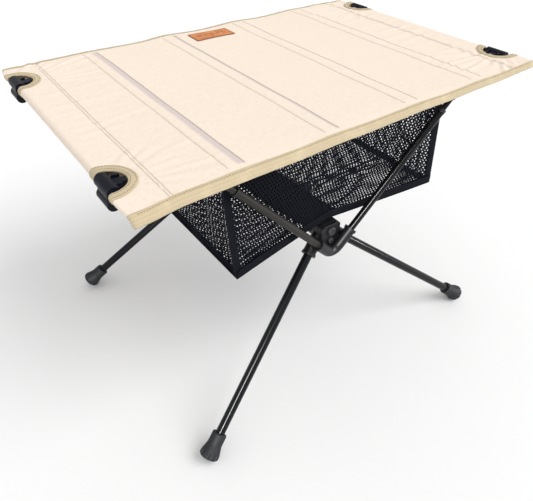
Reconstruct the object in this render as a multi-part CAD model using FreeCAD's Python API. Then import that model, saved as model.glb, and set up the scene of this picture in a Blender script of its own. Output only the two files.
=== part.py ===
"""Folding camp kitchen table: cloth top on two cross-legged hubs, with a hanging mesh basket.

Millimetres.  +X runs along the table's long side, +Y towards its back, +Z up.
The origin is on the floor, under the middle of the top.
"""
import FreeCAD
import Part
import math
import os

V = FreeCAD.Vector

# ---- driving dimensions -------------------------------------------------------------
TOP_LENGTH = 600.0          # cloth top, end to end
TOP_WIDTH = 404.0           # across the drooping edge bindings
TOP_HEIGHT = 426.0          # upper face of the cloth
CLOTH = 1.0                 # thickness of the coated cloth

# hub sockets, given for the right-hand back corner; the other three are mirrored
LEG_MOUTH = V(36.0, 133.6, 201.55)
LEG_END = V(267.0, 214.6, 9.6)
ARM_MOUTH = V(31.8, 146.6, 228.0)
ARM_KNEE = V(200.9, 158.7, 409.0)
ARM_END = V(283.0, 140.0, 409.0)

LEG_RADIUS = 6.5
LEG_WALL = 1.0
LEG_DEPTH = 27.0            # length of a leg inside its socket
LEG_FIT = 0.06              # running clearance of a leg in its socket
ARM_RADIUS = 5.25
ARM_TIP_RADIUS = 3.9
ARM_WALL = 0.9
ARM_DEPTH = 24.0
ARM_STEP = 0.80             # where the thick lower arm hands over to the thin upper one
ARM_BEND = 42.0             # centreline radius of the upper arm's bend

FOOT_LENGTH = 36.0
FOOT_TOP_RADIUS = 10.4
FOOT_END_RADIUS = 14.0
FOOT_GRIP = 24.0            # how far the leg goes into its foot
FOOT_LOBES = 8

BLOCK_BACK = 118.0          # leg holder's block, from its inner face ...
BLOCK_FRONT = 133.0         # ... to the face that the arm holder is bolted to
WEB_FRONT = 138.5           # outer face of the arm holder's web
BLOCK_HALF_WIDTH = 17.0
BLOCK_TOP = 243.0
BLOCK_BOTTOM = 198.0
SOCKET_LENGTH = 34.0
HOLDER_BEND = 15.0          # centreline radius at the bottom of the U-shaped arm holder
ARM_SOCKET_RADIUS = 8.2
LEG_SOCKET_RADIUS = 9.6
LIP_LENGTH = 4.0
LIP_HEIGHT = 1.1
BAR_SOCKET_LENGTH = 22.0
HUB_Z = 214.0               # height of the crossbar
BOLT_Z = 232.0
BOLT_RADIUS = 3.0
BOLT_HEAD_RADIUS = 7.0
BOLT_HEAD = 3.8
SCREW_Z = 215.0
SCREW_RADIUS = 2.0
SCREW_HEAD_RADIUS = 4.8
SCREW_HEAD = 3.0
BOLT_DEPTH = 14.0           # length of bolt and screw shanks behind the web's face

CROSSBAR_RADIUS = 6.0
CROSSBAR_END = 122.0

POLE_RADIUS = 4.5           # end poles in the cloth's end sleeves
POLE_WALL = 1.0
POLE_X = 294.0
POLE_Z = TOP_HEIGHT - CLOTH - POLE_RADIUS
POLE_END = 148.0
SLEEVE_SEAM = 257.0         # where the sleeve's lower layer is sewn to the top

CLOTH_EDGE = 193.6          # flat cloth's half width, before the drooping binding
BINDING_DROP = 11.0
BINDING_THICK = 2.6
BINDING_GRIP = 1.4          # how far the folded binding reaches in over the cloth
PRESSED = 0.2               # how far binding and label press into the cloth's face

CLIP_Y = 140.0
CUT_DEPTH = 34.0            # corner cut-outs, binding tape included
CUT_HALF = 29.0
TAPE = 9.0
TAPE_PROUD = 0.7

CLIP_BARREL_RADIUS = 7.4
CLIP_HALF = 15.0
CLIP_GAP = 0.3              # free play between a clip and the arm tip it snaps over
CLIP_WALL = 3.2             # each side of the horn's channel
CLIP_ROOF = 2.2
HORN_INWARD = 24.0          # horn's reach from the arm's tip, towards the middle ...
HORN_OUTWARD = 10.0         # ... and outwards under the pole
HEEL_RADIUS = 6.6

SLAT_X = (62.0, 184.0)
SLAT_WIDTH = 18.0
SLAT_THICK = 2.4
SLAT_HALF = 184.0
POCKET_CLOTH = 0.6

LABEL_X = -2.5
LABEL_Y = 157.5
LABEL_LENGTH = 67.0
LABEL_WIDTH = 33.0
LABEL_PROUD = 1.0           # height of the label above the cloth

BASKET_BOTTOM = 250.0
BASKET_TOP = 396.0
BASKET_WALL = 1.0
LOW_CORNER = (181.0, 156.0)     # basket corners at the bottom ...
LOW_MIDDLE = 130.0              # ... and the middle of its long sides, held in by the hubs
HIGH_CORNER = (180.0, 146.0)    # the same at the rim
HIGH_MIDDLE = 146.0
TRIM_THICK = 1.4
WEBBING_WIDTH = 10.0
RIM_HEIGHT = 4.0
HEM_HEIGHT = 13.0
END_HEM_HEIGHT = 4.0        # the hem is only a narrow seam across the basket's ends
LOOP_AT = 0.90              # place of the hanging loop along the straight of the arm
LOOP_WIDTH = 11.0

CORNERS = {
    "front_left": (-1, -1),
    "front_right": (1, -1),
    "back_left": (-1, 1),
    "back_right": (1, 1),
}
ENDS = {"left": -1, "right": 1}
SIDES = {"front": -1, "back": 1}

pieces = {}


# ---- small helpers ------------------------------------------------------------------
def at_corner(point, sx, sy):
    """The same point in another quarter of the table."""
    return V(point.x * sx, point.y * sy, point.z)


def rod(start, end, radius):
    """A round bar from start to end."""
    return Part.makeCylinder(radius, (end - start).Length, start, end - start)


def tube(start, end, radius, wall):
    return rod(start, end, radius).cut(rod(start, end, radius - wall))


def along(start, end):
    """Unit vector from start to end."""
    step = end - start
    return step.multiply(1.0 / step.Length)


def fuse(first, *others):
    return first.multiFuse(list(others)).removeSplitter()


def slab(x0, x1, y0, y1, z0, z1):
    """A box between two corners given as limits."""
    return Part.makeBox(x1 - x0, y1 - y0, z1 - z0, V(x0, y0, z0))


def mirrored(shape, sx, sy):
    """Copy a shape built for the back right quarter into another one."""
    result = shape
    if sx < 0:
        result = result.mirror(V(0, 0, 0), V(1, 0, 0))
    if sy < 0:
        result = result.mirror(V(0, 0, 0), V(0, 1, 0))
    return result


def turned_to(shape, origin, direction):
    """Carry a shape built along +Z from the origin onto a line in space."""
    placed = shape.copy()
    placed.Placement = FreeCAD.Placement(origin, FreeCAD.Rotation(V(0, 0, 1), direction))
    return placed


# ---- hubs ---------------------------------------------------------------------------
leg_line = along(LEG_MOUTH, LEG_END)
arm_line = along(ARM_MOUTH, ARM_KNEE)
tip_line = along(ARM_KNEE, ARM_END)


def bent_rod(start, corner_point, end, radius, bend):
    """A round bar with one smooth bend where its two straights would meet."""
    first = along(start, corner_point)
    second = along(corner_point, end)
    turn = first.getAngle(second)
    setback = bend * math.tan(turn / 2.0)
    bend_start = corner_point - first * setback
    bend_end = corner_point + second * setback
    inward = along(corner_point, (bend_start + bend_end) * 0.5)
    bend_middle = corner_point + inward * (bend / math.cos(turn / 2.0) - bend)
    path = Part.Wire([
        Part.makeLine(start, bend_start),
        Part.Arc(bend_start, bend_middle, bend_end).toShape(),
        Part.makeLine(bend_end, end),
    ])
    ring = Part.Wire(Part.makeCircle(radius, start, first))
    return path.makePipeShell([ring], True, True)


def rounded_block(y0, y1, radius):
    """Hub block or web with rounded corners."""
    block = slab(-BLOCK_HALF_WIDTH, BLOCK_HALF_WIDTH, y0, y1, BLOCK_BOTTOM, BLOCK_TOP)
    return block.makeFillet(radius, [e for e in block.Edges if abs(e.tangentAt(0).y) > 0.9])


def fastener_holes():
    """Holes for the bolt and the screw through web and block."""
    start = WEB_FRONT - BOLT_DEPTH
    return [rod(V(0, start, BOLT_Z), V(0, WEB_FRONT + 1, BOLT_Z), BOLT_RADIUS),
            rod(V(0, start, SCREW_Z), V(0, WEB_FRONT + 1, SCREW_Z), SCREW_RADIUS)]


def hub_arm_holder():
    """Outer half of a hub: a U-shaped tube that takes both arms, and the web inside the U."""
    left_mouth = at_corner(ARM_MOUTH, -1, 1)
    meeting = ARM_MOUTH - arm_line * (ARM_MOUTH.x / arm_line.x)
    tube_shape = bent_rod(left_mouth, meeting, ARM_MOUTH, ARM_SOCKET_RADIUS, HOLDER_BEND)
    solids = []
    bores = fastener_holes()
    for sx in (-1, 1):
        mouth = at_corner(ARM_MOUTH, sx, 1)
        way = at_corner(arm_line, sx, 1)
        solids.append(rod(mouth - way * LIP_LENGTH, mouth, ARM_SOCKET_RADIUS + LIP_HEIGHT))
        bores.append(rod(mouth - way * ARM_DEPTH, mouth + way, ARM_RADIUS))
        leg_mouth = at_corner(LEG_MOUTH, sx, 1)
        leg_way = at_corner(leg_line, sx, 1)
        bores.append(rod(leg_mouth - leg_way * LEG_DEPTH, leg_mouth + leg_way * 40.0, LEG_RADIUS + 1.0))
    web = rounded_block(BLOCK_FRONT, WEB_FRONT, 6.0)
    holder = fuse(tube_shape, web, *solids)
    return holder.cut(slab(-60, 60, 60, BLOCK_FRONT, 150, 300)).cut(Part.makeCompound(bores))


def hub_leg_holder(arm_holder):
    """Inner half of a hub: a block with two leg sockets and the crossbar's socket."""
    solids = []
    bores = fastener_holes()
    for sx in (-1, 1):
        mouth = at_corner(LEG_MOUTH, sx, 1)
        way = at_corner(leg_line, sx, 1)
        solids.append(rod(mouth - way * SOCKET_LENGTH, mouth, LEG_SOCKET_RADIUS))
        solids.append(rod(mouth - way * LIP_LENGTH, mouth, LEG_SOCKET_RADIUS + LIP_HEIGHT))
        bores.append(rod(mouth - way * LEG_DEPTH, mouth + way, LEG_RADIUS + LEG_FIT))
    bar_start = V(0, CROSSBAR_END - BAR_SOCKET_LENGTH, HUB_Z)
    solids.append(rod(bar_start, V(0, BLOCK_FRONT - 2.0, HUB_Z), CROSSBAR_RADIUS + 3.0))
    bores.append(rod(bar_start - V(0, 1, 0), V(0, CROSSBAR_END, HUB_Z), CROSSBAR_RADIUS))
    holder = fuse(rounded_block(BLOCK_BACK, BLOCK_FRONT, 6.0), *solids)
    return holder.cut(Part.makeCompound(bores)).cut(arm_holder)


def hub_fastener(z, radius, head_radius, head):
    """A round-headed bolt that goes into the hub's outer face, with a shallow dished head."""
    shank = rod(V(0, WEB_FRONT - BOLT_DEPTH, z), V(0, WEB_FRONT, z), radius)
    cap = rod(V(0, WEB_FRONT, z), V(0, WEB_FRONT + head, z), head_radius)
    rim = [e for e in cap.Edges if abs(e.CenterOfMass.y - WEB_FRONT - head) < 0.01]
    cap = cap.makeFillet(head * 0.5, rim)
    dish = rod(V(0, WEB_FRONT + head - 0.9, z), V(0, WEB_FRONT + head + 1, z), head_radius * 0.5)
    return fuse(shank, cap).cut(dish)


arm_holder_piece = hub_arm_holder()
leg_holder_piece = hub_leg_holder(arm_holder_piece)
bolt = hub_fastener(BOLT_Z, BOLT_RADIUS, BOLT_HEAD_RADIUS, BOLT_HEAD)
screw = hub_fastener(SCREW_Z, SCREW_RADIUS, SCREW_HEAD_RADIUS, SCREW_HEAD)
for side, sy in SIDES.items():
    pieces["hub_arm_holder_" + side] = mirrored(arm_holder_piece, 1, sy)
    pieces["hub_leg_holder_" + side] = mirrored(leg_holder_piece, 1, sy)
    pieces["hub_bolt_" + side] = mirrored(bolt, 1, sy)
    pieces["hub_screw_" + side] = mirrored(screw, 1, sy)

pieces["crossbar"] = tube(V(0, -CROSSBAR_END, HUB_Z), V(0, CROSSBAR_END, HUB_Z), CROSSBAR_RADIUS, LEG_WALL)


# ---- legs ---------------------------------------------------------------------------
leg_start = LEG_MOUTH - leg_line * LEG_DEPTH
leg_stop = LEG_END - leg_line * (FOOT_LENGTH - FOOT_GRIP)


def foot():
    """Fluted foot that flares towards the ground and is worn flat where it stands."""
    waist = FOOT_LENGTH * 0.45
    profile = Part.makePolygon([
        V(0, 0, 0), V(FOOT_TOP_RADIUS - 1.2, 0, 0), V(FOOT_TOP_RADIUS, 0, 1.2),
        V(FOOT_TOP_RADIUS, 0, waist), V(FOOT_END_RADIUS, 0, FOOT_LENGTH - 6.0),
        V(FOOT_END_RADIUS, 0, FOOT_LENGTH - 2.5), V(FOOT_END_RADIUS - 2.5, 0, FOOT_LENGTH),
        V(0, 0, FOOT_LENGTH), V(0, 0, 0),
    ])
    body = Part.Face(profile).revolve(V(0, 0, 0), V(0, 0, 1), 360)
    flutes = []
    for index in range(FOOT_LOBES):
        turn = 2.0 * math.pi * index / FOOT_LOBES
        outward = V(math.cos(turn), math.sin(turn), 0)
        low = outward * (FOOT_END_RADIUS + 1.2) + V(0, 0, FOOT_LENGTH + 1.0)
        high = outward * (FOOT_END_RADIUS + 1.2) + V(0, 0, waist)
        flutes.append(rod(high, low, 2.7))
    body = body.cut(Part.makeCompound(flutes))
    body = body.cut(rod(V(0, 0, -1), V(0, 0, FOOT_GRIP), LEG_RADIUS))
    placed = turned_to(body, LEG_END - leg_line * FOOT_LENGTH, leg_line)
    return placed.common(slab(100, 400, 100, 400, 0, 100))


for corner, (sx, sy) in CORNERS.items():
    leg = tube(leg_start, leg_stop, LEG_RADIUS, LEG_WALL)
    cord = rod(leg_start + leg_line * 1.0, leg_stop - leg_line * 1.0, 1.5)
    pieces["leg_tube_" + corner] = mirrored(leg, sx, sy)
    pieces["leg_shock_cord_" + corner] = mirrored(cord, sx, sy)
    pieces["foot_" + corner] = mirrored(foot(), sx, sy)


# ---- arms ---------------------------------------------------------------------------
arm_start = ARM_MOUTH - arm_line * ARM_DEPTH
arm_step = ARM_MOUTH + (ARM_KNEE - ARM_MOUTH) * ARM_STEP


def bent_arm():
    """Thin upper arm: straight up from inside the lower arm, round the bend, level to its tip."""
    start = arm_step - arm_line * 20.0
    outside = bent_rod(start, ARM_KNEE, ARM_END, ARM_TIP_RADIUS, ARM_BEND)
    inside = bent_rod(start, ARM_KNEE, ARM_END, ARM_TIP_RADIUS - ARM_WALL, ARM_BEND)
    return outside.cut(inside)


for corner, (sx, sy) in CORNERS.items():
    lower = rod(arm_start, arm_step, ARM_RADIUS).cut(rod(arm_start, arm_step, ARM_TIP_RADIUS))
    collar = tube(arm_step, arm_step + arm_line * 5.0, ARM_RADIUS + 0.5, ARM_RADIUS + 0.5 - ARM_TIP_RADIUS)
    pieces["arm_lower_" + corner] = mirrored(lower, sx, sy)
    pieces["arm_upper_" + corner] = mirrored(bent_arm(), sx, sy)
    pieces["arm_collar_" + corner] = mirrored(collar, sx, sy)


# ---- cloth top ----------------------------------------------------------------------
def sleeve_outline(sx, y, grow):
    """Section of one end sleeve: round the pole, then straight back to its seam.

    grow moves the outline outwards, so a negative value gives the sleeve's inside.
    """
    reach = POLE_RADIUS + CLOTH + grow
    seam = SLEEVE_SEAM - grow * 4.0
    low_seam = TOP_HEIGHT - 2.2 * CLOTH - grow
    run = POLE_X - seam
    rise = POLE_Z - low_seam
    distance = math.hypot(run, rise)
    heading = math.atan2(rise, run) - math.asin(reach / distance)
    tangent = math.sqrt(distance ** 2 - reach ** 2)
    low_x = seam + tangent * math.cos(heading)
    low_z = low_seam + tangent * math.sin(heading)
    high = V(sx * POLE_X, y, POLE_Z + reach)
    outer = V(sx * (POLE_X + reach), y, POLE_Z)
    low = V(sx * low_x, y, low_z)
    seam_high = V(sx * seam, y, POLE_Z + reach)
    seam_low = V(sx * seam, y, low_seam)
    return Part.Wire([
        Part.makeLine(seam_high, high),
        Part.Arc(high, outer, low).toShape(),
        Part.makeLine(low, seam_low),
        Part.makeLine(seam_low, seam_high),
    ])


def end_sleeve(sx, grow):
    """Cloth wrapped round an end pole, as a thin closed sleeve."""
    depth = V(0, 2 * CLOTH_EDGE, 0)
    skin = Part.Face(sleeve_outline(sx, -CLOTH_EDGE, grow)).extrude(depth)
    inside = Part.Face(sleeve_outline(sx, -CLOTH_EDGE, -CLOTH)).extrude(depth)
    return skin.cut(inside)


def cutout_prism(sx, sy, shrink):
    """Upright prism of a corner cut-out: open at the table's end, round towards the middle."""
    half = CUT_HALF - shrink
    depth = CUT_DEPTH - shrink
    outer_x = TOP_LENGTH / 2 + 12.0
    inner_x = TOP_LENGTH / 2 - depth
    centre_x = inner_x + half * 0.8
    z0 = POLE_Z - 20.0
    a = V(outer_x, CLIP_Y - half, z0)
    b = V(centre_x, CLIP_Y - half, z0)
    c = V(inner_x, CLIP_Y, z0)
    d = V(centre_x, CLIP_Y + half, z0)
    e = V(outer_x, CLIP_Y + half, z0)
    outline = Part.Wire([
        Part.makeLine(a, b),
        Part.Arc(b, c, d).toShape(),
        Part.makeLine(d, e),
        Part.makeLine(e, a),
    ])
    return mirrored(Part.Face(outline).extrude(V(0, 0, 40.0)), sx, sy)


def slat_pocket(x):
    """Shallow sewn pocket under the cloth that holds one slat."""
    half = SLAT_WIDTH / 2 + POCKET_CLOTH
    under = TOP_HEIGHT - CLOTH
    depth = SLAT_THICK + POCKET_CLOTH
    skin = slab(x - half, x + half, -SLAT_HALF - 2, SLAT_HALF + 2, under - depth, under)
    room = slab(x - SLAT_WIDTH / 2, x + SLAT_WIDTH / 2, -SLAT_HALF, SLAT_HALF, under - SLAT_THICK, under)
    return skin.cut(room)


def pressed_edge(sy):
    """The strip along a long edge where the binding grips the cloth and presses it down."""
    y0, y1 = sorted([sy * (CLOTH_EDGE - BINDING_GRIP), sy * (CLOTH_EDGE + 1.0)])
    return slab(-TOP_LENGTH, TOP_LENGTH, y0, y1, TOP_HEIGHT - PRESSED, TOP_HEIGHT + 1.0)


def top_cloth(label):
    """The whole cloth: flat sheet, two end sleeves, four slat pockets, four cut-outs."""
    sheet = slab(-SLEEVE_SEAM, SLEEVE_SEAM, -CLOTH_EDGE, CLOTH_EDGE, TOP_HEIGHT - CLOTH, TOP_HEIGHT)
    parts = [end_sleeve(-1, 0.0), end_sleeve(1, 0.0)]
    for x in SLAT_X:
        parts += [slat_pocket(-x), slat_pocket(x)]
    whole = fuse(sheet, *parts)
    cuts = [cutout_prism(sx, sy, 0.0) for sx, sy in CORNERS.values()]
    cuts += [pressed_edge(-1), pressed_edge(1), label]
    return whole.cut(Part.makeCompound(cuts))


def cutout_tape(sx, sy):
    """Binding tape round a cut-out; it follows the sleeve down round the end."""
    y = CLOTH_EDGE - 2.0
    thick = end_sleeve(sx, TAPE_PROUD)
    x0, x1 = sorted([sx * (TOP_LENGTH / 2 - 2 * CUT_DEPTH), sx * POLE_X])
    plate = slab(x0, x1, -y, y, TOP_HEIGHT - CLOTH, TOP_HEIGHT + TAPE_PROUD)
    ring = cutout_prism(sx, sy, 0.0).cut(cutout_prism(sx, sy, TAPE))
    return fuse(thick, plate).common(ring)


def edge_binding(sy):
    """Folded tape along a long edge, hanging a little below the top."""
    fold_y = CLOTH_EDGE - BINDING_GRIP
    low_y = TOP_WIDTH / 2
    high_z = TOP_HEIGHT + TAPE_PROUD
    low_z = high_z - BINDING_DROP
    section = Part.makePolygon([
        V(0, fold_y, high_z), V(0, CLOTH_EDGE + 0.6, high_z), V(0, low_y, low_z + 1.2),
        V(0, low_y - 0.8, low_z), V(0, low_y - BINDING_THICK, low_z + 0.8),
        V(0, CLOTH_EDGE - 0.6, high_z - BINDING_THICK - 0.6), V(0, fold_y, high_z - BINDING_THICK),
        V(0, fold_y, high_z),
    ])
    half = TOP_LENGTH / 2 - 4.0
    tape = Part.Face(section).extrude(V(2 * half, 0, 0))
    tape.translate(V(-half, 0, 0))
    return mirrored(tape, 1, sy)


label = slab(LABEL_X - LABEL_LENGTH / 2, LABEL_X + LABEL_LENGTH / 2,
             LABEL_Y - LABEL_WIDTH / 2, LABEL_Y + LABEL_WIDTH / 2,
             TOP_HEIGHT - PRESSED, TOP_HEIGHT + LABEL_PROUD)
pieces["leather_label"] = label
cloth = top_cloth(label)
for side, sy in SIDES.items():
    pieces["edge_binding_" + side] = edge_binding(sy).cut(cloth)
pieces["top_cloth"] = cloth
for corner, (sx, sy) in CORNERS.items():
    pieces["cutout_tape_" + corner] = cutout_tape(sx, sy)

slat_top = TOP_HEIGHT - CLOTH
for end, sx in ENDS.items():
    for place, x in zip(("inner", "outer"), SLAT_X):
        slat = slab(sx * x - SLAT_WIDTH / 2, sx * x + SLAT_WIDTH / 2, -SLAT_HALF, SLAT_HALF,
                    slat_top - SLAT_THICK, slat_top)
        pieces["slat_" + place + "_" + end] = slat
    pieces["end_pole_" + end] = tube(V(sx * POLE_X, -POLE_END, POLE_Z), V(sx * POLE_X, POLE_END, POLE_Z),
                                     POLE_RADIUS, POLE_WALL)


# ---- corner clips -------------------------------------------------------------------
def corner_clip():
    """Plastic clip: a barrel on the end pole and a horn that snaps down over an arm tip."""
    low_y = CLIP_Y - CLIP_HALF
    high_y = CLIP_Y + CLIP_HALF
    heel_x = POLE_X + 2.0
    barrel = rod(V(POLE_X, low_y, POLE_Z), V(POLE_X, high_y, POLE_Z), CLIP_BARREL_RADIUS)
    heel = rod(V(heel_x, low_y + 3.0, ARM_END.z), V(heel_x, high_y - 1.0, ARM_END.z), HEEL_RADIUS)
    roof = ARM_END.z + ARM_TIP_RADIUS + CLIP_GAP
    half = ARM_TIP_RADIUS + CLIP_GAP + CLIP_WALL
    horn = slab(-HORN_INWARD, HORN_OUTWARD, -half, half, ARM_END.z - HEEL_RADIUS, roof + CLIP_ROOF)
    beak = slab(-7.0, 6.0, -4.0, 4.0, roof + 2.0, POLE_Z + 4.0)
    ribs = [slab(-2.0, 6.0, y - 1.0, y + 1.0, roof + 2.0, POLE_Z + 5.4) for y in (-8.0, 8.0)]
    turn = math.degrees(math.atan2(tip_line.y, tip_line.x))
    moved = []
    for shape in [horn, beak] + ribs:
        shape.rotate(V(0, 0, 0), V(0, 0, 1), turn)
        shape.translate(V(ARM_END.x, ARM_END.y, 0))
        moved.append(shape)
    web = slab(POLE_X - 5.0, POLE_X + 6.5, low_y + 4.0, high_y - 4.0, ARM_END.z, POLE_Z)
    body = fuse(barrel, heel, web, *moved)
    reach = ARM_TIP_RADIUS + CLIP_GAP
    slot = slab(-60.0, 1.0, -reach, reach, ARM_END.z - 20.0, roof)
    slot.rotate(V(0, 0, 0), V(0, 0, 1), turn)
    slot.translate(V(ARM_END.x, ARM_END.y, 0))
    bore = rod(V(POLE_X, CLIP_Y - 60.0, POLE_Z), V(POLE_X, POLE_END, POLE_Z), POLE_RADIUS)
    return body.cut(slot).cut(bore)


for corner, (sx, sy) in CORNERS.items():
    pieces["corner_clip_" + corner] = mirrored(corner_clip(), sx, sy)


# ---- hanging basket -----------------------------------------------------------------
def basket_outline(z, inset):
    """Six-sided plan of the basket at one height, drawn in by inset."""
    share = (z - BASKET_BOTTOM) / (BASKET_TOP - BASKET_BOTTOM)
    corner_x = LOW_CORNER[0] + (HIGH_CORNER[0] - LOW_CORNER[0]) * share - inset
    corner_y = LOW_CORNER[1] + (HIGH_CORNER[1] - LOW_CORNER[1]) * share - inset
    middle_y = LOW_MIDDLE + (HIGH_MIDDLE - LOW_MIDDLE) * share - inset
    points = [V(corner_x, -corner_y, z), V(corner_x, corner_y, z), V(0, middle_y, z),
              V(-corner_x, corner_y, z), V(-corner_x, -corner_y, z), V(0, -middle_y, z)]
    return Part.makePolygon(points + points[:1])


def basket_fill(z0, z1, inset):
    """Solid that fills the basket's outline between two heights."""
    return Part.makeLoft([basket_outline(z0, inset), basket_outline(z1, inset)], True, True)


def basket_band(z0, z1, inset, thick):
    """Thin wall all round the basket."""
    return basket_fill(z0, z1, inset).cut(basket_fill(z0, z1, inset + thick))


basket_floor_top = BASKET_BOTTOM + BASKET_WALL
hem_top = basket_floor_top + HEM_HEIGHT
pieces["basket_mesh"] = basket_fill(BASKET_BOTTOM, BASKET_TOP, 0.0).cut(
    basket_fill(basket_floor_top, BASKET_TOP, BASKET_WALL))
hem = basket_band(basket_floor_top, hem_top, BASKET_WALL, TRIM_THICK)
end_zones = [slab(min(sx * 160.0, sx * 200.0), max(sx * 160.0, sx * 200.0), -LOW_MIDDLE, LOW_MIDDLE,
                  basket_floor_top + END_HEM_HEIGHT, hem_top + 1.0) for sx in ENDS.values()]
pieces["basket_hem_band"] = hem.cut(Part.makeCompound(end_zones))
pieces["basket_rim_tape"] = basket_band(BASKET_TOP, BASKET_TOP + RIM_HEIGHT, 0.0, TRIM_THICK)


def corner_webbing(sx, sy):
    """Webbing down the inside of one upright basket corner."""
    band = basket_band(hem_top, BASKET_TOP, BASKET_WALL, TRIM_THICK)
    zone = slab(HIGH_CORNER[0] - WEBBING_WIDTH, 200.0, HIGH_CORNER[1] - WEBBING_WIDTH, 200.0,
                hem_top, BASKET_TOP)
    return band.common(mirrored(zone, sx, sy))


def hanging_loop():
    """Webbing loop round the upper arm, with a short tab to the basket's rim."""
    centre = ARM_MOUTH + (ARM_KNEE - ARM_MOUTH) * LOOP_AT
    low = centre - arm_line * (LOOP_WIDTH / 2)
    high = centre + arm_line * (LOOP_WIDTH / 2)
    ring = rod(low, high, ARM_TIP_RADIUS + TRIM_THICK)
    corner_x, corner_y = HIGH_CORNER
    tab = slab(corner_x - 10.0, corner_x + 2.0, corner_y + 0.2, centre.y - 2.0,
               centre.z - 3.0, BASKET_TOP + RIM_HEIGHT)
    passage = rod(low - arm_line * 40.0, high + arm_line * 10.0, ARM_TIP_RADIUS)
    basket = basket_fill(BASKET_BOTTOM, BASKET_TOP + RIM_HEIGHT, 0.0)
    return fuse(ring, tab).cut(passage).cut(basket)


pieces["basket_corner_webbing"] = Part.makeCompound(
    [corner_webbing(sx, sy) for sx, sy in CORNERS.values()])
pieces["basket_loops"] = Part.makeCompound(
    [mirrored(hanging_loop(), sx, sy) for sx, sy in CORNERS.values()])


# ---- files --------------------------------------------------------------------------
os.makedirs("parts", exist_ok=True)
for name, shape in pieces.items():
    shape.exportStep("parts/" + name + ".step")
    print(name, len(shape.Solids), round(shape.Volume, 1), shape.isValid())
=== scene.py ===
"""Camp kitchen table: cloth, thread, netting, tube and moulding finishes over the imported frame.

Shapes are worked out in millimetres and put into meshes in metres.  +X is along the
table's long side, +Y towards its back, +Z up, and the origin is on the floor.
"""
import math
import random

import bpy
import numpy as np
from mathutils import Matrix, Vector


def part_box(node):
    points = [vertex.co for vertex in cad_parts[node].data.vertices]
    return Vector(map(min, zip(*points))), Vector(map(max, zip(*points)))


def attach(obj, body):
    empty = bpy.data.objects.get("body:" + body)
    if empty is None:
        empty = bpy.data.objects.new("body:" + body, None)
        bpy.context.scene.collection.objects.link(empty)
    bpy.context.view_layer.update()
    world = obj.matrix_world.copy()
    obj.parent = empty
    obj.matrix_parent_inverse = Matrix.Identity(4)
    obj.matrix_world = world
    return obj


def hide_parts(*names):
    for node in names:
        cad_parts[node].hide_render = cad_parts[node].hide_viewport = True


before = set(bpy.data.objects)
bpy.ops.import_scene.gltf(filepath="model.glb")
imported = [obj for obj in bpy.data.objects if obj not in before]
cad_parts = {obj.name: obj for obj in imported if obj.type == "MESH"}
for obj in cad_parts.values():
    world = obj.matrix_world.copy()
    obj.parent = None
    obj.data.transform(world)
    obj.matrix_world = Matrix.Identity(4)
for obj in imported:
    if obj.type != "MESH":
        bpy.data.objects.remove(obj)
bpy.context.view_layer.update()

MM = 0.001
CORNERS = {"front_left": (-1, -1), "front_right": (1, -1), "back_left": (-1, 1), "back_right": (1, 1)}


def box_mm(node):
    """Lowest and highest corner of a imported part, in millimetres."""
    low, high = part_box(node)
    return np.array(low) / MM, np.array(high) / MM


# ---- where things are ---------------------------------------------------------------
CLOTH = 1.0
pole_low, pole_high = box_mm("end_pole_right")
POLE_X = (pole_low[0] + pole_high[0]) / 2
POLE_RADIUS = (pole_high[0] - pole_low[0]) / 2
POLE_END = pole_high[1]
FACE_Z = pole_high[2] + CLOTH
CLOTH_EDGE = box_mm("top_cloth")[1][1]
SLAT_NAMES = ("slat_outer_left", "slat_inner_left", "slat_inner_right", "slat_outer_right")
SLATS = [float((box_mm(name)[0][0] + box_mm(name)[1][0]) / 2) for name in SLAT_NAMES]
SLAT_HALF_WIDTH = float(box_mm("slat_inner_right")[1][0] - SLATS[2])
SLAT_END = box_mm("slat_inner_right")[1][1]
POCKET_SEAM = SLAT_HALF_WIDTH + 0.8
SLEEVE_SEAM = 257.0
DOUBLE_ROW = 1.7                # each row of a sleeve's double seam stands this far from its middle
SLAT_SEAMS = [centre + k for centre in SLATS for k in (-POCKET_SEAM, POCKET_SEAM)]
tape_low, tape_high = box_mm("cutout_tape_back_right")
CUT_Y = (tape_low[1] + tape_high[1]) / 2
CUT_HALF = (tape_high[1] - tape_low[1]) / 2
CUT_IN = tape_low[0]
TAPE = 9.0


def ease(low, high, value):
    """0 below low, 1 above high, smooth between."""
    t = np.clip((np.asarray(value, float) - low) / (high - low), 0, 1)
    return t * t * (3 - 2 * t)


def bell(distance, width):
    """1 at no distance, fading to 0 both ways."""
    return np.exp(-(distance / width) ** 2)


# ---- shader writing -----------------------------------------------------------------
def written(operation, swapped=False):
    """Operator method that writes one Math node."""
    if swapped:
        return lambda wire, other: wire.finish.math(operation, other, wire)
    return lambda wire, *others: wire.finish.math(operation, wire, *others)


class Wire:
    """One value in a finish; sums on it become Math nodes."""

    def __init__(self, finish, socket):
        self.finish = finish
        self.socket = socket

    __add__, __radd__ = written("ADD"), written("ADD", swapped=True)
    __sub__, __rsub__ = written("SUBTRACT"), written("SUBTRACT", swapped=True)
    __mul__, __rmul__ = written("MULTIPLY"), written("MULTIPLY", swapped=True)
    __gt__ = written("GREATER_THAN")
    __abs__ = written("ABSOLUTE")


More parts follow.
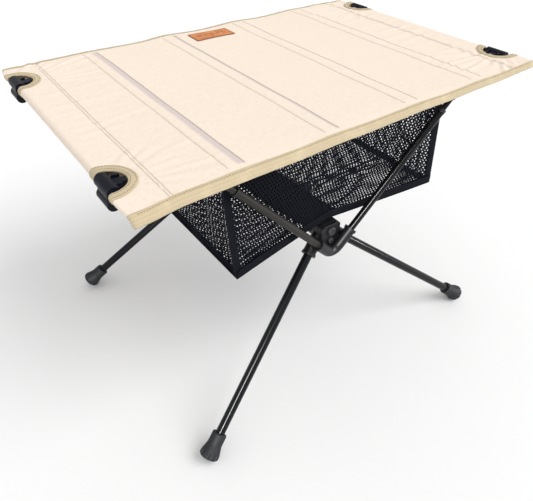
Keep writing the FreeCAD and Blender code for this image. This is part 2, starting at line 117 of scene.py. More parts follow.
class Finish:
    """One material while it is being written."""

    def __init__(self, name):
        self.material = bpy.data.materials.new(name)
        self.material.use_nodes = True
        self.tree = self.material.node_tree
        self.tree.nodes.clear()

    def node(self, kind, settings=None, sockets=None, out=0):
        """Any node: its settings first, then its sockets."""
        made = self.tree.nodes.new("ShaderNode" + kind)
        for key, value in (settings or {}).items():
            setattr(made, key, value)
        for key, value in (sockets or {}).items():
            if isinstance(value, Wire):
                self.tree.links.new(value.socket, made.inputs[key])
            else:
                made.inputs[key].default_value = value
        return Wire(self, made.outputs[out]) if len(made.outputs) else None

    def math(self, operation, *terms):
        return self.node("Math", {"operation": operation}, dict(enumerate(terms)))

    def sine(self, value):
        return self.math("SINE", value)

    def between(self, value, low, high):
        """0 where value is below low, 1 above high, smooth between."""
        return self.node("MapRange", {"interpolation_type": "SMOOTHSTEP"},
                         {"Value": value, "From Min": low, "From Max": high})

    def mixed(self, share, first, second):
        """Colour between first and second."""
        return self.node("Mix", {"data_type": "RGBA"}, {0: share, 6: first, 7: second}, out=2)

    def place(self):
        """Where a point is on the object, in metres."""
        return self.node("TexCoord", out=3)

    def cut(self):
        """Where a point is on its flat cut cloth, in metres."""
        return self.node("Attribute", {"attribute_name": "cut"}, out=1)

    def parts(self, vector):
        made = self.node("SeparateXYZ", sockets={0: vector})
        outputs = made.socket.node.outputs
        return [Wire(self, outputs[index]) for index in range(3)]

    def stretched(self, vector, x, y, z):
        return self.node("VectorMath", {"operation": "MULTIPLY"}, {0: vector, 1: (x, y, z)})

    def noise(self, vector, scale, detail=3.0, rough=0.55):
        return self.node("TexNoise", {"noise_dimensions": "3D"},
                         {"Vector": vector, "Scale": scale, "Detail": detail, "Roughness": rough})

    def soft_edges(self, radius):
        """Normal with its edges rounded off."""
        return self.node("Bevel", {"samples": 4}, {"Radius": radius})

    def bump(self, height, strength, depth, normal=None):
        sockets = {"Height": height, "Strength": strength, "Distance": depth}
        if normal is not None:
            sockets["Normal"] = normal
        return self.node("Bump", sockets=sockets)

    def surface(self, colour, rough, gloss, normal=None, **more):
        """The shader itself, joined to the output."""
        sockets = {"Base Color": colour, "Roughness": rough, "Specular IOR Level": gloss}
        if normal is not None:
            sockets["Normal"] = normal
        for key, value in more.items():
            sockets[key.replace("_", " ").title()] = value
        shader = self.node("BsdfPrincipled", sockets=sockets)
        self.node("OutputMaterial", sockets={"Surface": shader})
        return self.material


def rgb(red, green, blue):
    return (red, green, blue, 1.0)


def paler(colour, gain, lift):
    """The same colour made paler, for rubbed and faded patches and for moulded edges."""
    return rgb(*(min(1.0, part * gain + lift) for part in colour[:3]))


# ---- cloth finishes -----------------------------------------------------------------
def plain_weave(dye, across, along, pitch):
    """Over-and-under height of a plain weave, and the mask of its warp threads."""
    turns = math.pi / pitch
    warp = dye.sine(across * turns)
    weft = dye.sine(along * turns)
    over = (warp * weft) > 0.0
    height = over * abs(warp) + (1 - over) * abs(weft)
    return height, over


WEAVE_PITCH = 0.0009
SHADE_BAND_STARTS = (-0.05, 0.50, 0.88, 0.88)     # where each slat's band of painted shade begins, as shares of its seam
MARK_CENTRES = (-0.0215, -0.0105, 0.0, 0.0105, 0.0215)


def top_cloth_finish():
    """Coated beige oxford: fine weave, faint slubs, painted shade in the seams and a painted shade band
    inside each pocket by its right seam.
    """
    dye = Finish("beige_coated_cloth")
    spot = dye.cut()
    x, y, _ = dye.parts(spot)
    weave, over = plain_weave(dye, x, y, WEAVE_PITCH)
    slub = dye.noise(dye.stretched(spot, 1.0, 0.12, 1.0), 900.0, 2.0)
    slub_across = dye.noise(dye.stretched(spot, 0.12, 1.0, 1.0), 900.0, 2.0)
    fleck = dye.between(slub * 0.5 + slub_across * 0.5, 0.38, 0.66)
    cloud = dye.noise(spot, 9.0, 4.0)
    colour = dye.mixed(fleck, rgb(0.83, 0.70, 0.575), rgb(0.92, 0.805, 0.69))
    colour = dye.mixed(dye.between(cloud, 0.35, 0.7) * 0.4, colour, rgb(0.91, 0.76, 0.66))
    colour = dye.mixed(weave * 0.30, colour, rgb(0.93, 0.84, 0.74))
    inside_run = dye.between(abs(y), 0.187, 0.183)
    seam = POCKET_SEAM * MM
    for centre, start in zip(SLATS, SHADE_BAND_STARTS):
        off = x - centre * MM
        # Painted shade in each pocket seam's groove: faint at the left seam, deep at the right seam, which
        # the slat's ridge shades.
        line = dye.between(abs(abs(off) - seam), 0.0016, 0.0003) * inside_run
        colour = dye.mixed(line * (0.10 + (off > 0.0) * 0.45), colour, rgb(0.40, 0.32, 0.29))
        # Painted shade: a grey band inside the pocket along its right seam, where the slat's ridge shades it.
        shade_band = dye.between(off, start * seam, (start * 0.5 + 0.5) * seam)
        shade_band = shade_band * dye.between(off, seam + 0.0016, seam)
        colour = dye.mixed(shade_band * inside_run * 0.62, colour, rgb(0.56, 0.48, 0.49))
    for centre in (-SLEEVE_SEAM, SLEEVE_SEAM):
        # Painted shade in the grooves of each sleeve's double seam.
        line = dye.between(abs(abs(x - centre * MM) - DOUBLE_ROW * MM), 0.0012, 0.0002)
        colour = dye.mixed(line * 0.30, colour, rgb(0.42, 0.33, 0.27))
    rubbed = dye.between(dye.noise(spot, 60.0, 5.0, 0.7), 0.60, 0.78)
    colour = dye.mixed(rubbed * 0.10, colour, rgb(0.60, 0.52, 0.45))
    crease = dye.noise(dye.stretched(spot, 0.45, 1.6, 1.0), 26.0, 3.0, 0.6)
    creased = dye.bump(crease, 0.30, 0.0035)
    woven = dye.bump(weave + fleck * 0.4, 0.42, 0.00022, creased)
    rough = 0.82 + over * 0.04 + fleck * 0.08
    return dye.surface(colour, rough, 0.06, woven, sheen_weight=0.03, sheen_roughness=0.5)


def tape_finish(name, light, dark, pitch=0.0011, gloss=0.25, sheen=0.18):
    """Ribbed woven tape: ribs across it, darker between them, a little worn on top."""
    dye = Finish(name)
    spot = dye.cut()
    along, across, _ = dye.parts(spot)
    ribs = abs(dye.sine(along * (math.pi / pitch)))
    rows = abs(dye.sine(across * (math.pi / (pitch * 0.8))))
    height = ribs * 0.7 + rows * 0.3
    fuzz = dye.noise(spot, 1300.0, 3.0)
    patch = dye.noise(spot, 45.0, 4.0)
    colour = dye.mixed(height * 0.75 + fuzz * 0.25, dark, light)
    stripe = abs(dye.sine(across * (math.pi / 0.0034)))
    colour = dye.mixed(dye.between(stripe, 0.42, 0.10) * 0.5, colour, dark)
    colour = dye.mixed(dye.between(patch, 0.45, 0.75) * 0.35, colour, paler(light, 1.22, 0.01))
    normal = dye.bump(height + fuzz * 0.35, 0.65, 0.00035)
    return dye.surface(colour, 0.72 + fuzz * 0.18, gloss, normal, sheen_weight=sheen, sheen_roughness=0.45)


def netting_finish():
    """Knitted black yarn: loops round each hole, fuzz, a slight blue cast."""
    dye = Finish("black_knitted_netting")
    spot = dye.cut()
    across, up, _ = dye.parts(spot)
    loops = dye.sine(across * (math.pi / 0.0006)) * dye.sine(up * (math.pi / 0.0005))
    fuzz = dye.noise(spot, 1600.0, 3.0)
    colour = dye.mixed(fuzz, rgb(0.002, 0.0024, 0.005), rgb(0.007, 0.009, 0.017))
    normal = dye.bump(loops * 0.5 + fuzz, 0.7, 0.0003)
    return dye.surface(colour, 0.62 + fuzz * 0.25, 0.05, normal)


def thread_finish(name, light, dark):
    """Twisted sewing thread."""
    dye = Finish(name)
    spot = dye.place()
    x, y, z = dye.parts(spot)
    twist = dye.sine((x + y * 1.3 + z) * (math.pi / 0.0003))
    colour = dye.mixed(twist * 0.5 + 0.5, dark, light)
    normal = dye.bump(twist, 0.5, 0.0001)
    return dye.surface(colour, 0.55 + twist * 0.08, 0.35, normal)


def leather_finish():
    """Tan-orange leather: pebbled grain, cloudy dye, burnished dark edge and punch marks."""
    dye = Finish("tan_orange_leather")
    spot = dye.cut()
    x, y, inset = dye.parts(spot)
    grain = dye.node("TexVoronoi", {"feature": "DISTANCE_TO_EDGE"}, {"Vector": spot, "Scale": 950.0})
    pebble = dye.between(grain, 0.02, 0.22)
    cloud = dye.noise(spot, 70.0, 5.0, 0.6)
    colour = dye.mixed(dye.between(cloud, 0.3, 0.72), rgb(0.62, 0.180, 0.036), rgb(0.90, 0.335, 0.085))
    colour = dye.mixed((1 - pebble) * 0.5, colour, rgb(0.27, 0.075, 0.02))
    rim = dye.between(inset, 0.0016, 0.0004)
    colour = dye.mixed(rim * 0.9, colour, rgb(0.075, 0.025, 0.01))
    marks = None
    for index, centre in enumerate(MARK_CENTRES):
        reach = 0.0045 if index % 2 == 0 else 0.0032
        off = abs(x - centre) * 1.15 + abs(y)
        lozenge = dye.between(off, reach, reach - 0.0007)
        mark = lozenge * dye.between(off, reach - 0.0022, reach - 0.0016)
        marks = mark if marks is None else marks + mark
    colour = dye.mixed(marks * 0.85, colour, rgb(0.12, 0.035, 0.012))
    height = pebble * 0.5 + cloud * 0.4 - marks * 2.0
    normal = dye.bump(height, 0.55, 0.0003)
    return dye.surface(colour, 0.46 + cloud * 0.16, 0.45, normal)


# ---- hard finishes ------------------------------------------------------------------
def drawn_tube_finish(name, axis, light, dark, rough, metallic=0.0):
    """Anodised tube: fine draw lines along it, faint scuffs."""
    dye = Finish(name)
    spot = dye.place()
    unit = Vector(axis).normalized()
    share = dye.node("VectorMath", {"operation": "DOT_PRODUCT"}, {0: spot, 1: unit}, out=1)
    onward = dye.node("VectorMath", {"operation": "SCALE"}, {0: tuple(unit), 3: share * 0.985})
    squeezed = dye.node("VectorMath", {"operation": "SUBTRACT"}, {0: spot, 1: onward})
    lines = dye.noise(squeezed, 2600.0, 3.0, 0.6)
    scuffs = dye.noise(spot, 130.0, 6.0, 0.72)
    scuffed = dye.between(scuffs, 0.60, 0.74)
    colour = dye.mixed(lines, dark, light)
    colour = dye.mixed(scuffed * 0.5, colour, paler(light, 2.6, 0.012))
    normal = dye.bump(lines, 0.12, 0.00006)
    return dye.surface(colour, rough + lines * 0.08 + scuffed * 0.14, 0.20, normal, metallic=metallic)


def moulded_finish(name, light, dark, rough, grit=2600.0, edge=0.0007, gloss=0.24):
    """Moulded part: spark-eroded grain, rounded edges paler, faint flow clouds."""
    dye = Finish(name)
    spot = dye.place()
    grain = dye.noise(spot, grit, 2.0, 0.6)
    cloud = dye.noise(spot, 95.0, 4.0, 0.6)
    soft = dye.soft_edges(edge)
    flat = dye.node("NewGeometry", out=1)
    facing = dye.node("VectorMath", {"operation": "DOT_PRODUCT"}, {0: soft, 1: flat}, out=1)
    rim = dye.between(facing, 0.985, 0.90)
    colour = dye.mixed(cloud * 0.6 + grain * 0.4, dark, light)
    colour = dye.mixed(rim * (0.35 + cloud * 0.5), colour, paler(light, 2.4, 0.02))
    normal = dye.bump(grain, 0.35, 0.00012, soft)
    return dye.surface(colour, rough + cloud * 0.14 + grain * 0.06, gloss, normal)


def rubber_finish():
    """Charcoal foot rubber: matt grain, dust worn in near the ground."""
    dye = Finish("charcoal_rubber")
    spot = dye.place()
    _, _, z = dye.parts(spot)
    grain = dye.noise(spot, 1900.0, 3.0, 0.6)
    cloud = dye.noise(spot, 120.0, 5.0, 0.65)
    soft = dye.soft_edges(0.0009)
    colour = dye.mixed(cloud, rgb(0.009, 0.0105, 0.013), rgb(0.024, 0.027, 0.032))
    dust = dye.between(z + cloud * 0.010, 0.016, 0.003) * dye.between(grain, 0.42, 0.62)
    colour = dye.mixed(dust * 0.30, colour, rgb(0.16, 0.145, 0.125))
    normal = dye.bump(grain, 0.5, 0.00018, soft)
    return dye.surface(colour, 0.52 + cloud * 0.2 + dust * 0.2, 0.22, normal)


def floor_finish():
    """Plain pale studio floor."""
    dye = Finish("studio_floor")
    cloud = dye.noise(dye.place(), 3.0, 2.0)
    colour = dye.mixed(cloud, rgb(0.90, 0.90, 0.90), rgb(0.93, 0.93, 0.93))
    return dye.surface(colour, 0.9, 0.1)


# ---- mesh making --------------------------------------------------------------------
def put_in(thing):
    bpy.context.scene.collection.objects.link(thing)


MADE_OF = {                     # body and material slot of everything in one finish
    "cloth": ("top", "top_cloth"), "cloth_under": ("top", "top_cloth"),
    "shaded_seam_thread": ("top", "top_cloth"), "pale_thread": ("top", "top_cloth"),
    "khaki": ("top", "binding_tape"), "tape_thread": ("top", "binding_tape"),
    "leather": ("top", "label_leather"), "label_thread": ("top", "label_leather"),
    "netting": ("frame", "basket_mesh"), "webbing": ("frame", "basket_webbing"),
}


def sew(name, points, faces, finish, cut=None, replaces=(), solid=0.0, rounds=0):
    """A piece from points in millimetres: its mesh, finish and body.

    solid thickens it in millimetres, inwards if above 0 and to both sides if below.
    """
    body, slot = MADE_OF[finish]
    mesh = bpy.data.meshes.new(name)
    mesh.from_pydata((np.asarray(points) * MM).tolist(), [], faces)
    mesh.update()
    if cut is not None:
        flat = np.asarray(cut, float)
        if flat.shape[1] == 2:
            flat = np.column_stack([flat, np.zeros(len(flat))])
        layer = mesh.attributes.new("cut", "FLOAT_VECTOR", "POINT")
        layer.data.foreach_set("vector", (flat * MM).ravel())
    mesh.polygons.foreach_set("use_smooth", [True] * len(mesh.polygons))
    mesh.materials.append(finishes[finish])
    piece = bpy.data.objects.new(name, mesh)
    put_in(piece)
    if solid:
        shell = piece.modifiers.new("thickness", "SOLIDIFY")
        shell.thickness = abs(solid) * MM
        shell.offset = -1.0 if solid > 0 else 0.0
        shell.use_even_offset = False
    if rounds:
        smoother = piece.modifiers.new("rounding", "SUBSURF")
        smoother.levels = rounds
        smoother.render_levels = rounds
    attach(piece, body)
    if replaces:
        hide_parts(*replaces)
    return piece


def quads(rows, columns, close_columns=False):
    """Faces of a grid of rows x columns points, its last column joined to the first if asked."""
    faces = []
    for row in range(rows - 1):
        for column in range(columns if close_columns else columns - 1):
            here, onward = row * columns, (column + 1) % columns
            faces.append((here + column, here + onward, here + columns + onward, here + columns + column))
    return faces


# ---- the cloth's surface ------------------------------------------------------------
SEAM_Z = FACE_Z - 2.2           # outer face of the sleeve's lower layer where it is sewn on
SLEEVE_RUN = 92.3               # cloth from a sleeve's seam, round its pole and back to it
HALF_CUT = SLEEVE_SEAM + SLEEVE_RUN
BEND_FROM = CLOTH_EDGE - 2.4    # where the top turns down towards its edge
BEND_RADIUS = 3.0
BEND_ANGLE = math.radians(50.0)
BACK_BEND = math.radians(14.0)  # the back edge turns down much less
FOLD_AT = 204.6                 # fold of the edge binding, as a distance on the flat cloth
FOLD_SLIP = 3.4                 # the binding narrows by this much from the left end to the right
RAW_EDGE = FOLD_AT - FOLD_SLIP - 1.2
CORNER_DROOPS = [5.0, 2.5, 3.0]     # of the left front, left back and right back corners
RIGHT_FRONT_DROOP = -1.0
END_LINE = POLE_X + (POLE_RADIUS + CLOTH) * math.pi / 2

random.seed(41)


def pick_creases():
    """Soft creases that fan out from the corner cut-outs towards the middle."""
    found = []
    for sx, sy in CORNERS.values():
        pull = 1.0 if (sx, sy) == (1, -1) else 0.6
        for index in range(10):
            turn = math.radians(-42 + 11.5 * index + random.uniform(-4, 4))
            start = 33 + random.uniform(0, 6)
            length = random.uniform(50, 120) * (1.0 if abs(turn) < 0.5 else 0.6)
            width = random.uniform(3.6, 7.0)
            height = random.uniform(1.3, 2.3) * pull
            found.append((sx, sy, turn, start, length, width, height))
    return found


def pick_waves():
    """Broad slow waves, the same on every run."""
    return [(random.uniform(0.02, 0.075), random.uniform(0.015, 0.06), random.uniform(0, 6.28),
             random.uniform(0.10, 0.24)) for _ in range(7)]


creases = pick_creases()
waves = pick_waves()
long_creases = [(random.uniform(-150, 150), random.uniform(70, 150), random.uniform(3.5, 7.0),
                 random.uniform(0.35, 0.80), random.choice((-1, 1, 1)), random.uniform(-0.10, 0.10))
                for _ in range(30)]


def cloth_height(x, y):
    """How far the top's face stands above or below flat, in millimetres."""
    height = np.zeros_like(x)
    near_run = 1 - ease(SLAT_END - 1, SLAT_END + 5, abs(y))
    for centre in SLATS:
        away = abs(x - centre)
        height += 0.42 * (1 - ease(POCKET_SEAM - 1.6, POCKET_SEAM + 0.2, away)) * near_run
        seam = away - POCKET_SEAM
        height -= 0.42 * bell(seam, 0.9) * near_run
        pucker = np.sin(y * 0.62 + centre) * np.sin(y * 0.171 + centre * 2)
        height += 0.16 * pucker * bell(seam, 4.2) * near_run
    for centre in (-SLEEVE_SEAM, SLEEVE_SEAM):
        for stitch_row in (-DOUBLE_ROW, DOUBLE_ROW):
            height -= 0.34 * bell(x - centre - stitch_row, 0.8)
        height += 0.20 * np.sin(y * 0.55 + centre) * np.sin(y * 0.13) * bell(x - centre, 6.0)
    stops = [-POLE_X] + SLAT_SEAMS + [POLE_X]
    for low, high in zip(stops[::2], stops[1::2]):
        share = np.clip((x - low) / (high - low), 0, 1)
        depth = 1.15 if high - low > 70 else 0.7
        height -= depth * 4 * share * (1 - share)
    calm = 1 - 0.7 * ease(SLAT_END - 8, SLAT_END + 6, abs(y))
    for along, across, start, size in waves:
        height += size * np.sin(x * along + y * across + start) * calm
    for sx, sy, turn, start, length, width, size in creases:
        far = END_LINE - x * sx - 6
        aside = y * sy - CUT_Y
        onward = far * math.cos(turn) + aside * math.sin(turn)
        off = -far * math.sin(turn) + aside * math.cos(turn)
        reach = ease(start - 8, start + 6, onward) * (1 - ease(start + length * 0.45, start + length, onward))
        bowed = off + 0.0009 * (onward - start) ** 2 * np.sign(turn)
        height += size * reach * (1 - 1.6 * (bowed / width) ** 2) * bell(bowed, width)
    for middle, length, width, size, end, slope in long_creases:
        inward = POLE_X - x * end
        off = y - middle - slope * inward
        reach = ease(4, 18, inward) * (1 - ease(length * 0.4, length, inward))
        height += size * reach * (1 - 1.5 * (off / width) ** 2) * bell(off, width)
    flat_near_pole = 1 - ease(POLE_X - 8, POLE_X, abs(x))
    flat_near_label = 1 - 0.75 * bell(x + 2.5, 40.0) * bell(y - 157.5, 22.0)
    return height * flat_near_pole * flat_near_label


def sleeve_section(y):
    """Radius of the sleeve's turn, where it starts and how far it goes, for each place along the end."""
    past = ease(POLE_END - 1, POLE_END + 22, abs(y))
    radius = (POLE_RADIUS + CLOTH) * (1 - past) + 2.0 * past
    centre_x = np.full_like(radius, POLE_X)
    for _ in range(6):
        centre_z = FACE_Z - radius
        run = centre_x - SLEEVE_SEAM
        rise = centre_z - SEAM_Z
        reach = np.hypot(run, rise)
        heading = np.arctan2(rise, run) - np.arcsin(radius / reach)
        turn = math.pi - heading
        straight = np.sqrt(reach ** 2 - radius ** 2)
        used = (centre_x - SLEEVE_SEAM) + radius * turn + straight
        centre_x = centre_x + (SLEEVE_RUN - used) / 2
    return radius, centre_x, turn


def lay(s, v, h=0.0):
    """Place of a point of the cloth: s along the table, v across it, h out of its outer face."""
    s, v, h = np.broadcast_arrays(*(np.asarray(value, float) for value in (s, v, h)))
    side = np.where(s < 0, -1.0, 1.0)
    a = abs(s)
    radius, centre_x, turn = sleeve_section(v)
    angle = np.clip((a - centre_x) / radius, 0, turn)
    past = np.maximum(a - centre_x - radius * turn, 0)
    flat = np.minimum(a, centre_x)
    out_x, out_z = np.sin(angle), np.cos(angle)
    x = flat + radius * out_x - past * np.cos(turn - math.pi)
    drop = -radius * (1 - out_z) + past * np.sin(turn - math.pi)
    lift = cloth_height(np.minimum(a, centre_x) * side, v) * (a < centre_x)
    x = x + h * out_x
    drop = drop + h * out_z + lift
    beyond = abs(v) - BEND_FROM
    most = np.where(v < 0, BEND_ANGLE, BACK_BEND)
    bend = np.clip(beyond / BEND_RADIUS, 0, most)
    straight = np.maximum(beyond - BEND_RADIUS * most, 0)
    ripple = 0.16 * np.sin(x * 0.083 * side + 0.7) + 0.12 * np.sin(x * 0.31 * side + v * 0.01)
    y = np.where(beyond > 0,
                 BEND_FROM + (BEND_RADIUS + drop) * np.sin(bend) + straight * np.cos(bend), abs(v))
    z = np.where(beyond > 0,
                 FACE_Z - BEND_RADIUS + (BEND_RADIUS + drop) * np.cos(bend) - straight * np.sin(bend),
                 FACE_Z + drop)
    near_edge = ease(CLOTH_EDGE - 14, CLOTH_EDGE + 6, abs(v))
    droop = np.select([(side < 0) & (v < 0), (side < 0) & (v > 0), v > 0], CORNER_DROOPS, RIGHT_FRONT_DROOP)
    corner = ease(236, 300, x) * ease(150, 205, abs(v))
    z = z - droop * corner - near_edge * (1.3 + 0.35 * np.cos(x * math.pi / 61.0)) * (1 - ease(200, 270, x))
    z = z + near_edge * ripple
    x = x - 5.0 * ease(170, 208, abs(v)) * ease(240, 302, x)
    y = y - 1.8 * np.sin(np.clip(x / POLE_X, 0, 1) * math.pi / 2 + math.pi / 2) * ease(60, 200, abs(v))
    y = y + near_edge * ripple * 0.5
    return np.stack([x * side, y * np.where(v < 0, -1.0, 1.0), z], axis=-1)


def from_cut_out(s, v):
    """Distance outside a corner cut-out's outer tape edge; less than nothing inside it."""
    end = abs(abs(s) - END_LINE)
    half = END_LINE - CUT_IN
    return np.hypot(np.maximum(end - (half - CUT_HALF), 0), abs(v) - CUT_Y) - CUT_HALF


def cut_out_line(inset, count):
    """Closed line round a cut-out at one inset: distance from the end line, and across."""
    half = END_LINE - CUT_IN
    run = half - CUT_HALF
    radius = CUT_HALF - inset
    total = 2 * math.pi * radius + 4 * run
    points = []
    for index in range(count):
        d = total * index / count
        quarter = math.pi * radius
        if d < run:
            points.append((d, radius))
        elif d < run + quarter:
            angle = (d - run) / radius
            points.append((run + radius * math.sin(angle), radius * math.cos(angle)))
        elif d < 3 * run + quarter:
            points.append((run - (d - run - quarter), -radius))
        elif d < 3 * run + 2 * quarter:
            angle = (d - 3 * run - quarter) / radius
            points.append((-run - radius * math.sin(angle), -radius * math.cos(angle)))
        else:
            points.append((-run + (d - 3 * run - 2 * quarter), radius))
    return np.array(points)


def columns_with_seams():
    """Places along the table for the cloth's grid, closer together at every seam."""
    seams = SLAT_SEAMS + [sx * SLEEVE_SEAM + k for sx in (-1, 1) for k in (-DOUBLE_ROW, DOUBLE_ROW)]
    places = list(np.arange(-HALF_CUT, HALF_CUT + 0.1, 2 * HALF_CUT / 236))
    for seam in seams:
        places = [p for p in places if abs(p - seam) > 1.9]
        places += [seam - 1.5, seam - 0.6, seam, seam + 0.6, seam + 1.5]
    for sx in (-1, 1):
        places = [p for p in places if not POLE_X - 3 < p * sx < POLE_X + 22]
        places += [sx * (POLE_X - 3 + 25 * index / 16) for index in range(17)]
    places = sorted(places)
    kept = [places[0]]
    for place in places[1:]:
        if place - kept[-1] > 0.35:
            kept.append(place)
    return np.array(kept)


def top_sheet():
    """The whole top in one sheet, with its end sleeves and four corner cut-outs."""
    across = list(np.linspace(-CLOTH_EDGE + 4, CLOTH_EDGE - 4, 122))
    edge = [CLOTH_EDGE - 2.6, CLOTH_EDGE - 1.4, CLOTH_EDGE - 0.2, CLOTH_EDGE + 2, CLOTH_EDGE + 4.5, RAW_EDGE]
    across = np.array([-e for e in edge[::-1]] + across + edge)
    columns = columns_with_seams()
    s, v = np.meshgrid(columns, across)
    s, v = s.ravel(), v.ravel()
    distance = from_cut_out(s, v) + TAPE / 2
    inside = distance < 0
    faces = [f for f in quads(len(across), len(columns)) if not all(inside[i] for i in f)]
    used = sorted({i for f in faces for i in f})
    step = 0.05
    for _ in range(3):
        slope_s = (from_cut_out(s + step, v) - from_cut_out(s - step, v)) / (2 * step)
        slope_v = (from_cut_out(s, v + step) - from_cut_out(s, v - step)) / (2 * step)
        s = np.where(inside, s - distance * slope_s, s)
        v = np.where(inside, v - distance * slope_v, v)
        distance = from_cut_out(s, v) + TAPE / 2
    renumber = {old: new for new, old in enumerate(used)}
    faces = [tuple(renumber[i] for i in f) for f in faces]
    s, v = s[used], v[used]
    return sew("top_sheet", lay(s, v), faces, "cloth", cut=np.column_stack([s, v]),
               replaces=["top_cloth"], solid=CLOTH, rounds=1)


def swept_tape(name, line, profile, finish, closed, to_place, replaces, solid=-0.55):
    """Tape along a line: profile gives its section as (inset, height) pairs.

    to_place(line values, inset, height) gives the points in millimetres.
    """
    points, flat = [], []
    runs = [0.0]
    for before, after in zip(profile, profile[1:]):
        runs.append(runs[-1] + math.dist(after, before))
    for (inset, height), run in zip(profile, runs):
        row = to_place(line, inset, height)
        points.append(row)
        steps = np.linalg.norm(np.diff(row, axis=0), axis=1)
        flat.append(np.column_stack([np.concatenate([[0], np.cumsum(steps)]), np.full(len(row), run)]))
    count = len(points[0])
    faces = quads(len(profile), count, close_columns=closed)
    return sew(name, np.concatenate(points), faces, finish, cut=np.concatenate(flat),
               replaces=replaces, solid=solid)


def binding(side, sy):
    """Folded binding over a long edge, a little wavy, with its ends turned round the corners."""
    end = END_LINE + 1.5
    inner = FOLD_AT - (CLOTH_EDGE - 1.4)
    line = np.concatenate([np.arange(-end, -SLEEVE_SEAM, 2.0), np.arange(-SLEEVE_SEAM, SLEEVE_SEAM, 4.0),
                           np.arange(SLEEVE_SEAM, end + 0.1, 2.0)])
    thick = 1.0 + 2.9 * ease(SLEEVE_SEAM - 8, SLEEVE_SEAM + 12, abs(line))
    shrink = 1 - ease(end - 4.5, end + 0.2, abs(line)) * 0.75

    def to_place(places, inset, height):
        h = height * shrink if height > 0 else (height - thick + 1.0) * shrink
        slip = FOLD_SLIP * ease(-end, end, places)
        return lay(places, sy * (FOLD_AT - slip - inset * (1 - slip / inner)), h)

    profile = [(inner, 0.12), (inner - 0.25, 0.62), (inner - 2.5, 0.78), (inner - 7, 0.82), (1.6, 0.80),
               (0.4, 0.45), (-0.1, -0.4), (0.4, -1.35), (1.6, -1.75), (6.5, -1.8), (inner - 0.3, -1.6),
               (inner, -1.15)]
    return swept_tape("binding_tape_" + side, line, profile, "khaki", False, to_place,
                      ["edge_binding_" + side])


def cut_out_tape(corner, sx, sy):
    """Tape round one cut-out, folded over the cloth's edge and following it round the end."""
    line = np.arange(96)

    def to_place(places, inset, height):
        outline = cut_out_line(inset, len(places))
        return lay(sx * (END_LINE - outline[:, 0]), sy * (CUT_Y + outline[:, 1]), height)

    profile = [(0.0, 0.10), (0.15, 0.55), (2.0, 0.72), (5.0, 0.78), (8.0, 0.66), (8.9, 0.2), (9.1, -0.5),
               (8.9, -1.2), (8.0, -1.62), (5.0, -1.7), (2.0, -1.6), (0.1, -1.15)]
    return swept_tape("cut_out_tape_" + corner, line, profile, "khaki", True, to_place,
                      ["cutout_tape_" + corner])


# ---- thread -------------------------------------------------------------------------
STITCH = 3.0
THREAD = 0.30                   # radius of the sewing thread
LABEL_THREAD = 0.27
ON_CLOTH, ON_TAPE, ON_CUT_OUT_TAPE = 0.16, 1.12, 1.0    # heights of stitches over the cloth's face
CUT_OUT_ROWS = ((1.7, 74), (6.9, 60))   # inset of each row round a cut-out, and its count of stitches
LABEL_ROW = 2.3                 # inset of the label's pressed line and of its stitches


def stitches(name, ends, thick, finish):
    """Many short threads, each from one point to another, standing a little proud."""
    ends = np.asarray(ends, float)
    start, stop = ends[:, 0], ends[:, 1]
    way = stop - start
    length = np.linalg.norm(way, axis=1, keepdims=True)
    way = way / length
    helper = np.where(abs(way[:, 2:3]) > 0.9, [[1.0, 0, 0]], [[0, 0, 1.0]])
    aside = np.cross(way, helper)
    aside /= np.linalg.norm(aside, axis=1, keepdims=True)
    up = np.cross(aside, way)
    rings = []
    for share, size in ((0.0, 0.35), (0.18, 0.95), (0.5, 1.1), (0.82, 0.95), (1.0, 0.35)):
        middle = start + (stop - start) * share + up * thick * 0.3 * math.sin(share * math.pi)
        for step in range(5):
            angle = 2 * math.pi * step / 5 + 0.3
            rings.append(middle + (aside * math.cos(angle) + up * math.sin(angle)) * thick * size)
    points = np.stack(rings, axis=1).reshape(-1, 3)
    faces = []
    one = [(r * 5 + c, r * 5 + (c + 1) % 5, (r + 1) * 5 + (c + 1) % 5, (r + 1) * 5 + c)
           for r in range(4) for c in range(5)] + [(4, 3, 2, 1, 0), (20, 21, 22, 23, 24)]
    for index in range(len(ends)):
        base = index * 25
        faces.extend([tuple(base + i for i in f) for f in one])
    return sew(name, points, faces, finish)


def run_of_stitches(places, share=0.68):
    """Pairs of points for a row of stitches that follows these places."""
    places = np.asarray(places)
    return [(a + (b - a) * (0.5 - share / 2), a + (b - a) * (0.5 + share / 2))
            for a, b in zip(places[:-1], places[1:])]


def seam_threads():
    """Thread rows: pocket edges, both sleeves' double seams, bindings and cut-outs."""
    dark, pale, khaki = [], [], []
    across = np.arange(-SLAT_END - 1, SLAT_END + 1.1, STITCH)
    for centre in SLATS:
        for k in (-POCKET_SEAM, POCKET_SEAM):
            row = run_of_stitches(lay(centre + k, across, ON_CLOTH))
            # Right-hand pocket rows take the darker thread as painted shade; left-hand rows take the pale
            # thread.
            if k > 0:
                dark += row
            else:
                pale += row
    full = np.arange(-CLOTH_EDGE + 3, CLOTH_EDGE - 2.9, STITCH)
    for sx in (-1, 1):
        for k in (-DOUBLE_ROW, DOUBLE_ROW):
            pale += run_of_stitches(lay(sx * SLEEVE_SEAM + k, full, ON_CLOTH))
    along = np.arange(-END_LINE + 8, END_LINE - 7.9, STITCH)
    for sy in (-1, 1):
        khaki += run_of_stitches(lay(along, sy * (CLOTH_EDGE + 0.6), ON_TAPE))
    for sx, sy in CORNERS.values():
        for inset, count in CUT_OUT_ROWS:
            outline = cut_out_line(inset, count)
            places = lay(sx * (END_LINE - outline[:, 0]), sy * (CUT_Y + outline[:, 1]), ON_CUT_OUT_TAPE)
            khaki += run_of_stitches(np.concatenate([places, places[:1]]))
    return [stitches(name, ends, THREAD, finish) for name, ends, finish in (
        ("shaded_seam_thread", dark, "shaded_seam_thread"), ("pale_seam_thread", pale, "pale_thread"),
        ("tape_thread", khaki, "tape_thread"))]


